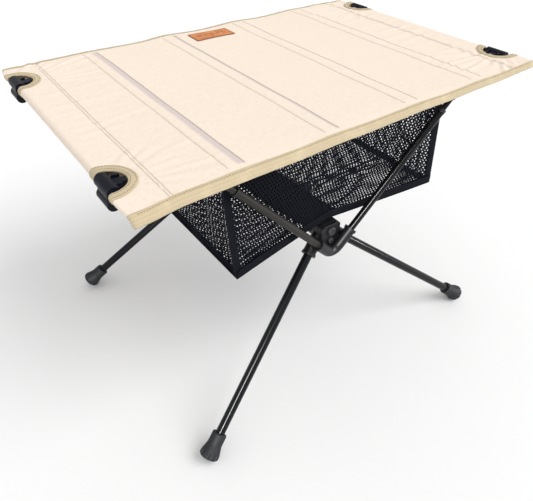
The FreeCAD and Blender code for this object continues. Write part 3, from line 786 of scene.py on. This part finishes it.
# ---- slat pockets, label ------------------------------------------------------------
def slat_pocket(index, centre):
    """Strip of cloth sewn under the top that holds one slat."""
    half = SLAT_HALF_WIDTH
    under = -CLOTH - 0.35
    deep = -CLOTH - 2.4 - 0.45
    one_side = [(half + 4.5, under), (half + 2.0, under), (half + 0.8, under - 0.1), (half + 0.5, deep + 0.6),
                (half - 0.6, deep)]
    section = [(-x, h) for x, h in one_side] + [(0, deep - 0.15)] + one_side[::-1]
    rows = np.linspace(-SLAT_END - 2, SLAT_END + 2, 64)
    points, flat = [], []
    run = 0.0
    for number, (x, h) in enumerate(section):
        if number:
            run += math.dist(section[number], section[number - 1])
        wobble = 0.12 * np.sin(rows * 0.09 + number)
        row = np.column_stack([np.full(len(rows), centre + x), rows, FACE_Z + h + wobble * (abs(x) < half)])
        points.append(row)
        flat.append(np.column_stack([np.full(len(rows), run + centre), rows]))
    piece = sew("slat_pocket_" + str(index), np.concatenate(points), quads(len(section), len(rows)),
                "cloth_under", cut=np.concatenate(flat), solid=-0.5, rounds=1)
    return piece


def label():
    """Leather label with rounded corners, laid on the cloth, its border stitched."""
    low, high = box_mm("leather_label")
    middle = (low + high) / 2
    half_x, half_y = (high[0] - low[0]) / 2, (high[1] - low[1]) / 2
    round_by = 2.6

    def steps(half):
        inner = list(np.linspace(-half + 3, half - 3, 15))
        rim = [half - 1.6, half - 0.8, half - 0.35, half]
        return np.array([-r for r in rim[::-1]] + inner + rim)

    u, v = np.meshgrid(steps(half_x), steps(half_y))
    rows, columns = u.shape
    u, v = u.ravel(), v.ravel()
    du = np.maximum(abs(u) - half_x + round_by, 0)
    dv = np.maximum(abs(v) - half_y + round_by, 0)
    both = np.hypot(du, dv)
    fit = np.where(both > 0, np.maximum(du, dv) / np.maximum(both, 1e-9), 1)
    pu = np.where((du > 0) & (dv > 0), np.sign(u) * (half_x - round_by + du * fit), u)
    pv = np.where((du > 0) & (dv > 0), np.sign(v) * (half_y - round_by + dv * fit), v)
    inset = np.minimum(half_x - abs(u), half_y - abs(v))
    height = 0.55 + 0.45 * ease(0, 0.9, inset) - 0.22 * bell(inset - LABEL_ROW, 0.5)
    places = lay(middle[0] + pu, middle[1] + pv, height)
    sew("tan_label", places, quads(rows, columns), "leather",
        cut=np.column_stack([pu, pv, inset]), replaces=["leather_label"], solid=1.0, rounds=1)
    corners = np.array([(-1, -1), (1, -1), (1, 1), (-1, 1), (-1, -1)])
    corners = corners * (half_x - LABEL_ROW, half_y - LABEL_ROW)
    ring = [a + (b - a) * step / count for a, b, count in zip(corners, corners[1:], (21, 10, 21, 10))
            for step in range(count)]
    ring = np.array(ring + ring[:1])
    row = lay(middle[0] + ring[:, 0], middle[1] + ring[:, 1], 0.95)
    stitches("label_thread", run_of_stitches(row, 0.7), LABEL_THREAD, "label_thread")


# ---- basket -------------------------------------------------------------------------
basket_low, basket_high = box_mm("basket_mesh")
rim_high = box_mm("basket_rim_tape")[1]
BASKET_Z = max(basket_low[2], 250.0)
BASKET_TALL = basket_high[2] - basket_low[2]
LOW_X, LOW_Y = basket_high[0], basket_high[1]
HIGH_X, HIGH_Y = rim_high[0], rim_high[1]
PINCH_Y = 130.0                 # long sides held in by the hubs
SKEW = 9.0                      # the floor hangs a little to the right of the rim
HEM_TALL = 13.0
PITCH = 4.9                     # between two holes of the netting
HOLE = 1.38                     # radius of a hole
SIDES = 12                      # of a hole and of the yarn round it
POINT = 0.0006                  # how blunt the long sides' bend at the hubs is
FOLD_DEEP, FOLD_WIDE = 7.5, 24.0    # the slack fold across the front wall
FLOOR_DROP = 10.5
FLOOR_BAND_HALF = 35.0          # half the width of the strip across the floor
FLOOR_BAND_LEFT = 9.0           # and how far left of the middle it lies
WEBBING_THICK = 0.9
LOOP_RADIUS = 4.9               # of a hanging loop round its arm
TAIL_APART = 0.6                # from each of a loop's two tails to the middle between them
LOOP_ACROSS = (-5.5, -2.0, 2.0, 5.5)    # rows of points across a loop's webbing
WEBBING_THIN = 0.5              # of the bands round the basket


def plan(share, t):
    """Plan of the basket: share from -1 to 1 along it, t from floor to rim; x and half width."""
    blunt = math.sqrt(POINT)
    lean = (np.sqrt(share ** 2 + POINT) - blunt) / (math.sqrt(1 + POINT) - blunt)
    x = share * (LOW_X * (1 - t) + HIGH_X * t) + SKEW * (1 - t) * abs(share)
    low_y = PINCH_Y + (LOW_Y - 1.0 - 3.0 * share - PINCH_Y) * lean
    return x, low_y * (1 - t) + HIGH_Y * t


def rim_sag(share, t):
    """How far the walls hang down between the corners, most at the rim."""
    return 2.5 * t * np.cos(np.clip(share, -1, 1) * math.pi / 2)


def long_wall(sy):
    """Surface of a long side wall: across from left to right, up from floor to rim."""
    def place(u, v):
        share, t = u / LOW_X - 1, v / BASKET_TALL
        x, y = plan(share, t)
        z = BASKET_Z + v
        rise = v + 26.0
        fan = np.arctan2(x, rise)
        reach = np.hypot(x, rise)
        calm = ease(0, 16, v) * ease(0, 14, BASKET_TALL - v) * ease(0, 24, LOW_X * (1 - abs(share)))
        ripple = (1 - np.cos(fan * 9.0 + 0.6)) * 1.3 * ease(30, 70, reach) * (1 - 0.7 * ease(90, 190, reach))
        ripple = ripple + (1 + np.sin(x * 0.045 + v * 0.03 + 1.4)) * 0.9
        ripple = ripple + (1 + np.sin(x * 0.021 - v * 0.05)) * 0.7
        fold_line = 70.5 - 0.075 * (x - 30) + 0.0007 * (x - 30) ** 2
        depth = FOLD_DEEP * bell(x - 5, 88.0) * (sy < 0)
        q = (v - fold_line) / FOLD_WIDE + 0.5
        inside = np.clip(q, 0, 1)
        z = z + depth * np.sin(inside * 2 * math.pi) - rim_sag(share, t)
        back = 2.6 * ease(0.1, 0.9, inside) * (1 - ease(1.0, 2.2, q)) * ease(0.3, 3.0, depth)
        y = y - calm * (ripple + back)
        return np.stack([x, y * sy, z], axis=-1)
    return place


def end_wall(sx):
    """Surface of an end wall: along Y, and up, hanging in soft upright folds."""
    def place(u, v):
        share, t = u / LOW_Y - 1, v / BASKET_TALL
        x, half = plan(np.full_like(share, sx), t)
        y = share * half
        calm = ease(0, 12, v) * ease(0, 14, BASKET_TALL - v) * ease(0, 18, LOW_Y * (1 - abs(share)))
        drape = (1 + np.sin(y * 0.135 + 0.6 * np.sin(v * 0.03))) * 3.6 * (0.5 + 0.5 * t)
        drape = drape + (1 + np.sin(y * 0.05 - v * 0.04 + 2.0)) * 1.6
        return np.stack([x - calm * drape * sx, y, BASKET_Z + v - rim_sag(share, t)], axis=-1)
    return place


def floor_height(x, y):
    """The floor hangs a little between its edges."""
    inner = np.clip(1 - (x / LOW_X) ** 2, 0, 1) * np.clip(1 - (y / PINCH_Y) ** 2, 0, 1)
    ripple = np.sin(x * 0.05 + 0.4) * np.sin(y * 0.045) * 1.1 + np.sin(x * 0.02 - y * 0.03) * 0.8
    return BASKET_Z + 0.6 - (FLOOR_DROP + ripple) * inner


def floor_place(u, v):
    """Surface of the basket's floor, narrower in the middle where the hubs hold it."""
    x, half = plan(u / LOW_X - 1, 0.0)
    y = (v / LOW_Y - 1) * half
    return np.stack([x, y, floor_height(x, y)], axis=-1)


def netting(name, wide, tall, place, replaces=()):
    """Knitted net cut wide x tall, with real holes, laid on a surface; its border is left whole."""
    row_step = PITCH * math.sqrt(3) / 2
    rows = int(tall / row_step) + 1
    columns = int(wide / PITCH) + 2
    grid = np.array([((c + 0.5 * (r % 2)) * PITCH, r * row_step)
                     for r in range(rows + 1) for c in range(columns)])
    grid = grid[(grid[:, 0] > -0.3 * PITCH) & (grid[:, 0] < wide + 0.3 * PITCH)
                & (grid[:, 1] < tall + 0.3 * row_step)]
    around = np.arange(SIDES) * math.pi / 6 + math.pi / 6
    far = np.where(np.arange(SIDES) % 2 == 0, PITCH / math.sqrt(3), PITCH / 2)
    border = np.stack([np.cos(around) * far, np.sin(around) * far], axis=-1)
    border = grid[:, None, :] + border[None]
    open_cell = ((grid[:, 0] > PITCH) & (grid[:, 0] < wide - PITCH) & (grid[:, 1] > PITCH)
                 & (grid[:, 1] < tall - PITCH))
    border[..., 0] = np.clip(border[..., 0], 0, wide)
    border[..., 1] = np.clip(border[..., 1], 0, tall)
    keys = np.round(border.reshape(-1, 2) / 0.02).astype(np.int64)
    _, first, which = np.unique(keys, axis=0, return_index=True, return_inverse=True)
    which = which.reshape(-1, SIDES)
    shared = border.reshape(-1, 2)[first]
    wobble = 1 + 0.06 * np.sin(grid[:, :1] * 1.7 + grid[:, 1:] * 2.3)
    ring = np.stack([np.cos(around) * HOLE * 0.94, np.sin(around) * HOLE * 1.06], axis=-1)
    holes = grid[open_cell][:, None, :] + ring[None] * wobble[open_cell][:, None, :]
    flat = np.concatenate([shared, holes.reshape(-1, 2)])
    faces = []
    start = len(shared)
    for edge, is_open in zip(which.tolist(), open_cell):
        if is_open:
            for k in range(SIDES):
                n = (k + 1) % SIDES
                faces.append((edge[k], edge[n], start + n, start + k))
            start += SIDES
        else:
            kept = dict.fromkeys(corner for k, corner in enumerate(edge) if corner != edge[k - 1])
            if len(kept) > 2:
                faces.append(tuple(kept))
    points = place(flat[:, 0], flat[:, 1])
    piece = sew(name, points, faces, "netting", cut=flat, replaces=replaces)
    return piece


def basket_ring(t, step=6.0):
    """Closed line round the basket at one share of its height, as points and outward ways."""
    points = []
    for sy, order in ((-1, 1), (1, -1)):
        along = np.arange(0, 2 * LOW_X, step)[::order] + 0.01
        across = np.arange(step, 2 * LOW_Y - step / 2, step)[::order]
        points.append(long_wall(sy)(along, np.full(len(along), t * BASKET_TALL)))
        points.append(end_wall(order)(across, np.full(len(across), t * BASKET_TALL)))
    ring = np.concatenate(points)
    ahead = np.roll(ring, -1, axis=0) - np.roll(ring, 1, axis=0)
    outward = np.stack([ahead[:, 1], -ahead[:, 0]], axis=-1)
    outward /= np.linalg.norm(outward, axis=1, keepdims=True)
    return ring, outward


def basket_band(name, t, profile, replaces, end_share=1.0):
    """Band round the basket: profile gives (outward, upward) pairs; it may be lower at the ends."""
    ring, outward = basket_ring(t)
    across_end = ease(0.5, 0.85, abs(outward[:, 0]))
    tall = 1 - across_end * (1 - end_share)

    def to_place(_, out, up):
        row = ring.copy()
        row[:, :2] += outward * out
        row[:, 2] += up * tall
        return row
    return swept_tape(name, np.arange(len(ring)), profile, "webbing", True, to_place, replaces,
                      solid=-WEBBING_THIN)


def corner_webbing():
    """Webbing down the inside of the four upright corners."""
    points, faces, flat = [], [], []
    levels = np.linspace(4, BASKET_TALL, 34)
    for sx, sy in CORNERS.values():
        base = len(points)
        for v in levels:
            x, y = plan(np.array(float(sx)), v / BASKET_TALL)
            x, y = abs(float(x)) - 0.8, float(y) - 0.8
            wave = 0.25 * math.sin(v * 0.12)
            reach = 11.0 if sx > 0 else 7.5
            section = [(x - reach, y - 0.9 - wave), (x - 5, y - 0.4), (x - 1.4, y), (x - 0.4, y - 0.4),
                       (x, y - 1.4), (x - wave, y - 4.0)]
            for number, (px, py) in enumerate(section):
                points.append((px * sx, py * sy, BASKET_Z + v))
                flat.append((v, number * 3.4))
        faces += [tuple(base + i for i in f) for f in quads(len(levels), len(section))]
    return sew("corner_webbing", points, faces, "webbing", cut=flat,
               replaces=["basket_corner_webbing"], solid=-WEBBING_THICK)


def floor_band():
    """Strip of webbing across the floor, from hub to hub."""
    half = FLOOR_BAND_HALF
    rows = np.linspace(-PINCH_Y + 1.5, PINCH_Y - 1.5, 60)
    columns = np.linspace(-half, half, 16)
    x, y = np.meshgrid(columns, rows)
    x, y = x.ravel() * (0.82 + 0.18 * np.cos(y.ravel() / PINCH_Y * 1.2)) - FLOOR_BAND_LEFT, y.ravel()
    z = floor_height(x, y) + 0.9 + 0.5 * np.sin(x * 0.4 + y * 0.02)
    piece = sew("floor_band", np.stack([x, y, z], axis=-1), quads(len(rows), len(columns)),
                "webbing", cut=np.column_stack([y, x]), solid=-0.6)
    return piece


def hanging_loops():
    """Webbing loops round the upper arms, with their tails sewn to the rim's corners."""
    points, faces, flat = [], [], []
    rim_corner = np.array([HIGH_X - 2.0, HIGH_Y - 0.6, rim_high[2] - 2.0])
    collar, lower = (sum(box_mm(part + "back_right")) / 2 for part in ("arm_collar_", "arm_lower_"))
    way = collar - lower
    way /= np.linalg.norm(way)
    centre = collar + way * ((box_mm("basket_loops")[1][2] - 6.5 - collar[2]) / way[2])
    tail = rim_corner - centre
    tail = tail - way * (tail @ way)
    reach = np.linalg.norm(tail)
    tail /= reach
    side = np.cross(way, tail)
    radius, steps = LOOP_RADIUS, 22
    opening = math.acos(radius / max(reach, radius + 0.5)) * 0.9
    path = [tail * reach + side * TAIL_APART]
    for index in range(steps + 1):
        angle = opening + (2 * math.pi - 2 * opening) * index / steps
        path.append(tail * radius * math.cos(angle) + side * radius * math.sin(angle))
    path.append(tail * reach - side * TAIL_APART)
    for sx, sy in CORNERS.values():
        base = len(points)
        run = 0.0
        for number, offset in enumerate(path):
            if number:
                run += float(np.linalg.norm(offset - path[number - 1]))
            for across in LOOP_ACROSS:
                x, y, z = centre + offset + way * across
                points.append((x * sx, y * sy, z))
                flat.append((run, across))
        faces += [tuple(base + i for i in f) for f in quads(len(path), len(LOOP_ACROSS))]
    return sew("hanging_loops", points, faces, "webbing", cut=flat, replaces=["basket_loops"],
               solid=-WEBBING_THICK, rounds=1)


def make_basket():
    """Netting walls and floor, with hem, rim, corner and hanging webbing."""
    length, width = 2 * LOW_X, 2 * LOW_Y
    netting("basket_wall_front", length, BASKET_TALL, long_wall(-1), replaces=["basket_mesh"])
    netting("basket_wall_back", length, BASKET_TALL, long_wall(1))
    netting("basket_wall_left", width, BASKET_TALL, end_wall(-1))
    netting("basket_wall_right", width, BASKET_TALL, end_wall(1))
    netting("basket_floor", length, width, floor_place)
    floor_band()
    hem = [(0.45, HEM_TALL), (0.75, HEM_TALL - 0.8), (0.8, 7), (0.8, 1.0), (0.3, -0.5), (-1.2, -0.7),
           (-9.0, -0.5)]
    basket_band("basket_hem", 0.0, hem, ["basket_hem_band"], end_share=0.25)
    rim = [(0.5, -3.0), (0.8, -2.4), (0.85, 2.6), (0.3, 3.6), (-0.4, 3.6), (-0.9, 2.6), (-0.9, -2.4),
           (-0.6, -3.0)]
    basket_band("basket_rim", 1.0, rim, ["basket_rim_tape"])
    corner_webbing()
    hanging_loops()


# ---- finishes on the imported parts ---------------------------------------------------
def dress(name, finish):
    """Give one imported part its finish."""
    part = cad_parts[name]
    part.data.materials.clear()
    part.data.materials.append(finish)


def way_between(first, second):
    """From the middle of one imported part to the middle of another."""
    return Vector(sum(box_mm(second)) / 2 - sum(box_mm(first)) / 2)


def dress_parts():
    """Every carried-over part gets the finish of its own material."""
    dark, deep = rgb(0.0085, 0.009, 0.011), rgb(0.0035, 0.0038, 0.005)
    brown, deep_brown = rgb(0.026, 0.023, 0.018), rgb(0.014, 0.012, 0.01)
    for corner in CORNERS:
        leg = way_between("leg_tube_" + corner, "foot_" + corner)
        dress("leg_tube_" + corner, drawn_tube_finish("leg_anodising_" + corner, leg, dark, deep, 0.13))
        arm = way_between("arm_lower_" + corner, "arm_collar_" + corner)
        # The front-left arm alone gets a browner, rougher copy of the tube finish.
        if corner == "front_left":
            tube = drawn_tube_finish("arm_satin_" + corner, arm, brown, deep_brown, 0.38)
        else:
            tube = drawn_tube_finish("arm_anodising_" + corner, arm, dark, deep, 0.13)
        dress("arm_lower_" + corner, tube)
        dress("arm_upper_" + corner, tube)
        for part, finish in (("arm_collar_", "hub_plastic"), ("foot_", "rubber"),
                             ("leg_shock_cord_", "shock_cord"), ("corner_clip_", "clip_plastic")):
            dress(part + corner, finishes[finish])
    bar = drawn_tube_finish("bar_anodising", (0, 1, 0), dark, deep, 0.22)
    for name in ("crossbar", "end_pole_left", "end_pole_right"):
        dress(name, bar)
    bright, grey = rgb(0.72, 0.72, 0.74), rgb(0.55, 0.55, 0.57)
    strip = drawn_tube_finish("slat_aluminium", (0, 1, 0), bright, grey, 0.30, 1.0)
    for name in SLAT_NAMES:
        dress(name, strip)
    for side in ("front", "back"):
        for part, finish in (("arm_holder_", "hub_plastic"), ("leg_holder_", "hub_plastic"),
                             ("bolt_", "fastener"), ("screw_", "fastener")):
            dress("hub_" + part + side, finishes[finish])


# ---- studio -------------------------------------------------------------------------
EYE = (-0.404834, -0.530929, 0.672812)
TURN, TILT, ROLL = math.radians(36.83227), math.radians(40.37217), math.radians(0.61537)
LENS, LENS_SHIFT = 33.791, (-0.00326, -0.00528)     # millimetres, and shares of the sensor
AIM = (0, 0, 0.25)              # what the lights point at
SURROUND = 0.79                 # strength of the pale surroundings
OVERHEAD_FROM, OVERHEAD_SPREAD, OVERHEAD_POWER = (0.55, -0.75, 1.0), math.radians(40), 1.5


def studio_floor():
    """Wide floor under the table, at the frame's own level."""
    reach, steps = 6.0, 24
    line = np.linspace(-reach, reach, steps)
    mesh = bpy.data.meshes.new("studio_floor")
    mesh.from_pydata([(x, y, 0.0) for y in line for x in line], [], quads(steps, steps))
    mesh.materials.append(floor_finish())
    floor = bpy.data.objects.new("studio_floor", mesh)
    put_in(floor)


def gloss_light(name, place, width, height, power):
    """Tall lamp that is only seen in glossy parts."""
    lamp = bpy.data.lights.new(name, "AREA")
    lamp.shape = "RECTANGLE"
    lamp.size = width
    lamp.size_y = height
    lamp.energy = power
    light = bpy.data.objects.new(name, lamp)
    light.visible_diffuse = False
    light.location = place
    light.rotation_euler = (Vector(AIM) - Vector(place)).to_track_quat("-Z", "Y").to_euler()
    put_in(light)


def studio_lights():
    """Even pale surroundings, a soft sun overhead and two lamps for the gloss."""
    world = bpy.data.worlds.new("studio")
    world.use_nodes = True
    back = world.node_tree.nodes["Background"]
    back.inputs["Color"].default_value = rgb(1.0, 1.0, 1.0)
    back.inputs["Strength"].default_value = SURROUND
    bpy.context.scene.world = world
    bpy.context.scene.view_settings.view_transform = "Standard"
    overhead = bpy.data.lights.new("overhead", "SUN")
    overhead.energy = OVERHEAD_POWER
    overhead.angle = OVERHEAD_SPREAD
    above = bpy.data.objects.new("overhead", overhead)
    above.rotation_euler = Vector(OVERHEAD_FROM).to_track_quat("Z", "Y").to_euler()
    put_in(above)
    gloss_light("window_left", (-1.5, -1.4, 1.0), 0.36, 1.4, 115.0)
    gloss_light("strip_right", (1.5, -1.6, 0.9), 0.25, 1.5, 60.0)


def camera():
    """View from the front left, looking down."""
    ahead = Vector((math.sin(TURN) * math.cos(TILT), math.cos(TURN) * math.cos(TILT), -math.sin(TILT)))
    right = Vector((math.cos(TURN), -math.sin(TURN), 0.0))
    up = right.cross(ahead)
    right_rolled = right * math.cos(ROLL) + up * math.sin(ROLL)
    up_rolled = up * math.cos(ROLL) - right * math.sin(ROLL)
    lens = bpy.data.cameras.new("camera")
    lens.sensor_width = 36.0
    lens.sensor_fit = "HORIZONTAL"
    lens.lens = LENS
    lens.shift_x, lens.shift_y = LENS_SHIFT
    viewer = bpy.data.objects.new("camera", lens)
    pose = Matrix((right_rolled, up_rolled, -ahead)).transposed().to_4x4()
    pose.translation = Vector(EYE)
    viewer.matrix_world = pose
    put_in(viewer)
    bpy.context.scene.camera = viewer


# ---- put together -------------------------------------------------------------------
finishes = {
    "cloth": top_cloth_finish(),
    "khaki": tape_finish("khaki_binding_tape", rgb(0.72, 0.60, 0.40), rgb(0.46, 0.36, 0.21)),
    "cloth_under": tape_finish("beige_pocket_cloth", rgb(0.84, 0.73, 0.61), rgb(0.60, 0.50, 0.41), 0.0009),
    "webbing": tape_finish("black_webbing", rgb(0.0075, 0.009, 0.016), rgb(0.0018, 0.002, 0.004),
                           gloss=0.05, sheen=0.0),
    "netting": netting_finish(),
    # Darker copy of the sand thread for the pockets' right seams: painted shade.
    "shaded_seam_thread": thread_finish("shade_darkened_thread", rgb(0.50, 0.40, 0.33), rgb(0.30, 0.23, 0.18)),
    "pale_thread": thread_finish("sand_thread", rgb(0.74, 0.64, 0.50), rgb(0.52, 0.43, 0.32)),
    "tape_thread": thread_finish("bronze_thread", rgb(0.36, 0.27, 0.14), rgb(0.18, 0.13, 0.07)),
    "label_thread": thread_finish("brown_thread", rgb(0.26, 0.09, 0.03), rgb(0.12, 0.04, 0.015)),
    "leather": leather_finish(),
    "hub_plastic": moulded_finish("satin_black_moulding", rgb(0.014, 0.015, 0.018),
                                  rgb(0.0055, 0.006, 0.008), 0.30),
    "clip_plastic": moulded_finish("clip_moulding", rgb(0.0045, 0.006, 0.0145),
                                   rgb(0.0018, 0.0024, 0.0065), 0.34, gloss=0.12),
    "fastener": moulded_finish("coated_fastener", rgb(0.045, 0.046, 0.050),
                               rgb(0.026, 0.027, 0.030), 0.36, 3600.0),
    "rubber": rubber_finish(),
    "shock_cord": tape_finish("shock_cord_braid", rgb(0.06, 0.06, 0.065), rgb(0.02, 0.02, 0.022)),
}

camera()
studio_lights()
studio_floor()
dress_parts()
top = top_sheet()
bindings = [binding(side, sy) for side, sy in (("front", -1), ("back", 1))]
tapes = [cut_out_tape(corner, sx, sy) for corner, (sx, sy) in CORNERS.items()]
threads = seam_threads()
for index, centre in enumerate(SLATS):
    slat_pocket(index + 1, centre)
label()
make_basket()
